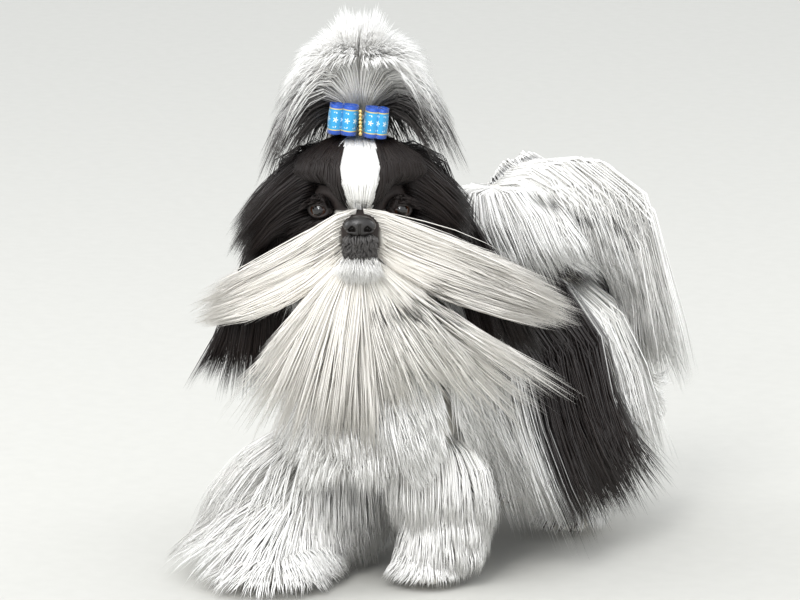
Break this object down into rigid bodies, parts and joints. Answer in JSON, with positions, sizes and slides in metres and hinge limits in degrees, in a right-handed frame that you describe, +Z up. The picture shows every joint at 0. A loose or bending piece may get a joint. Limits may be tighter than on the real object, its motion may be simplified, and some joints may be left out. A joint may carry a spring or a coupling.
{
  "type": "shih tzu, standing museum model",
  "caption": "Life-size still model of a long-coated shih tzu in mid stride, with a banded topknot, a ribbon bow and a plumed tail over its back.",
  "frame": {"origin": "middle of the whole model's footprint, on the floor under its feet", "axes": "+Z up; the body faces -Y, with the dog's left side towards +X"},
  "size_m": [0.3858, 0.5678, 0.4938],
  "materials": {
    "white_coat": "long silky hair, satin",
    "black_coat": "long silky hair, soft gloss",
    "muzzle_fur": "short fine fur, matt",
    "nose_leather": "pebbled and moist",
    "eye": "wet gloss, dark brown",
    "ribbon": "satin ribbon with coloured edges",
    "band": "matt",
    "knot": "polished"
  },
  "bodies": {
    "root": {"skull": "black_coat", "ear_left": "black_coat", "ear_right": "black_coat", "side_left": "black_coat", "side_right": "white_coat", "topknot": "white_coat", "jaw": "white_coat", "moustache_left": "white_coat", "moustache_right": "white_coat", "neck": "white_coat", "chest": "white_coat", "rump": "white_coat", "tail_base": "white_coat", "tail_plume": "white_coat", "fore_leg_left": "white_coat", "fore_leg_right": "white_coat", "fore_paw_left": "white_coat", "fore_paw_right": "white_coat", "hind_leg_left": "white_coat", "hind_leg_right": "white_coat", "hind_paw_left": "white_coat", "hind_paw_right": "white_coat", "muzzle": "muzzle_fur", "nose": "nose_leather", "eye_left": "eye", "eye_right": "eye", "band": "band", "bow_loops_left": "ribbon", "bow_loops_right": "ribbon", "bow_knot": "knot"}
  },
  "joints": []
}
